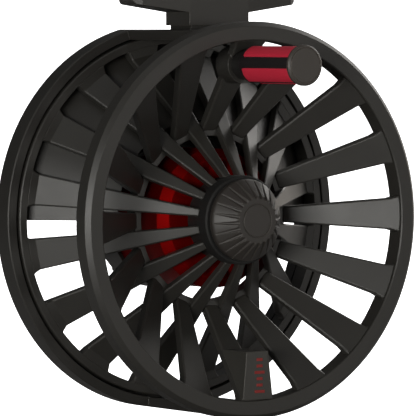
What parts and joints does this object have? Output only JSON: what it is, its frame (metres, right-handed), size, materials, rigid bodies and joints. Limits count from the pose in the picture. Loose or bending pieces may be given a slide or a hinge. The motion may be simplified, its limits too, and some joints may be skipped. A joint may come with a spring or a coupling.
{
  "type": "fly fishing reel",
  "caption": "Large-arbor fly reel with an interlaced spoked spool, open frame, red drag housing, grooved release cap, rod foot and red-gripped crank handle.",
  "frame": {"origin": "centre of the reel foot's top face, which seats against the rod", "axes": "+Z out of the foot towards the rod, X along the rod, -Y towards the handle side, +Y towards the drag knob"},
  "size_m": [0.118, 0.0955, 0.1263],
  "materials": {
    "grey_casting": "satin dark warm-grey coat on die-cast aluminium",
    "red_anodised": "satin red anodised",
    "steel": "fine turned finish",
    "dark_collar": "satin black anodised",
    "carbon": "matt friction composite",
    "rubber_seal": "matt black",
    "black_polymer": "fine matt",
    "red_grip": "satin red soft-touch",
    "brass_weight": "satin grey coat on brass",
    "bronze": "plain turned"
  },
  "bodies": {
    "frame": {"frame": "grey_casting", "reel_foot": "grey_casting", "foot_screws": "steel", "spindle": "steel", "drag_housing": "red_anodised", "housing_seal": "rubber_seal", "friction_discs": "carbon", "pawl_pin": "steel", "pawl_spring": "steel", "knob_nut": "steel", "detent_ball": "steel", "detent_spring": "steel"},
    "rotor": {"drag_rotor": "steel", "roller_clutch": "steel", "click_ring": "steel", "rotor_discs": "steel"},
    "pawl": {"click_pawl": "steel"},
    "drag_press": {"pressure_plate": "steel", "disc_springs": "steel", "push_pins": "steel", "push_plate": "steel"},
    "knob": {"drag_knob": "grey_casting", "index_ring": "red_anodised"},
    "carrier": {"bearing_sleeve": "steel", "bearing_balls": "steel"},
    "spool": {"spool_front_ring": "grey_casting", "spool_front_spokes": "grey_casting", "spool_arbor": "grey_casting", "spool_rear_spokes": "grey_casting", "spool_rear_ring": "grey_casting", "spool_hub": "grey_casting", "bearing_ring": "steel", "drive_socket": "bronze", "counterweight": "brass_weight", "counterweight_screws": "steel", "handle_post": "steel", "handle_collar": "dark_collar"},
    "handle": {"handle_barrel": "black_polymer", "handle_grips": "red_grip", "handle_bushes": "bronze", "handle_endcap": "grey_casting"},
    "cap_seat": {"cap_washer": "steel", "cap_seal": "rubber_seal"},
    "cap": {"release_cap": "grey_casting"}
  },
  "joints": [
    {"name": "spool_removal", "type": "slide", "parent": "frame", "child": "carrier", "axis": [0, -1, 0], "range_m": [0, 0.06]},
    {"name": "spool_spin", "type": "hinge", "parent": "carrier", "child": "spool", "pos_m": [0, -0.0146, -0.0673], "axis": [0, 1, 0], "continuous": true},
    {"name": "rotor_spin", "type": "hinge", "parent": "frame", "child": "rotor", "pos_m": [0, -0.001, -0.0673], "axis": [0, 1, 0], "continuous": true},
    {"name": "handle_spin", "type": "hinge", "parent": "spool", "child": "handle", "pos_m": [-0.00073, -0.037, -0.02111], "axis": [0, 1, 0], "continuous": true},
    {"name": "cap_travel", "type": "slide", "parent": "carrier", "child": "cap_seat", "axis": [0, -1, 0], "range_m": [0, 0.0025]},
    {"name": "cap_turn", "type": "hinge", "parent": "cap_seat", "child": "cap", "pos_m": [0, -0.023, -0.0673], "axis": [0, -1, 0], "range_deg": [0, 901]},
    {"name": "drag_knob_turn", "type": "hinge", "parent": "frame", "child": "knob", "pos_m": [0, 0.035, -0.0673], "axis": [0, -1, 0], "range_deg": [0, 330]},
    {"name": "drag_press_travel", "type": "slide", "parent": "frame", "child": "drag_press", "axis": [0, -1, 0], "range_m": [0, 0.000915]},
    {"name": "click_pawl_swing", "type": "hinge", "parent": "frame", "child": "pawl", "pos_m": [0.0132, -0.0032, -0.0577], "axis": [0, -1, 0], "range_deg": [0, 10], "stiffness_Nm_per_rad": 0.02, "springref_deg": -17.19}
  ],
  "couplings": [
    {"joint": "cap_turn", "follows": "cap_travel", "rad_per_m": 6283.2},
    {"joint": "drag_knob_turn", "follows": "drag_press_travel", "rad_per_m": 6283.2},
    {"joint": "rotor_spin", "follows": "spool_spin", "ratio": 1}
  ]
}
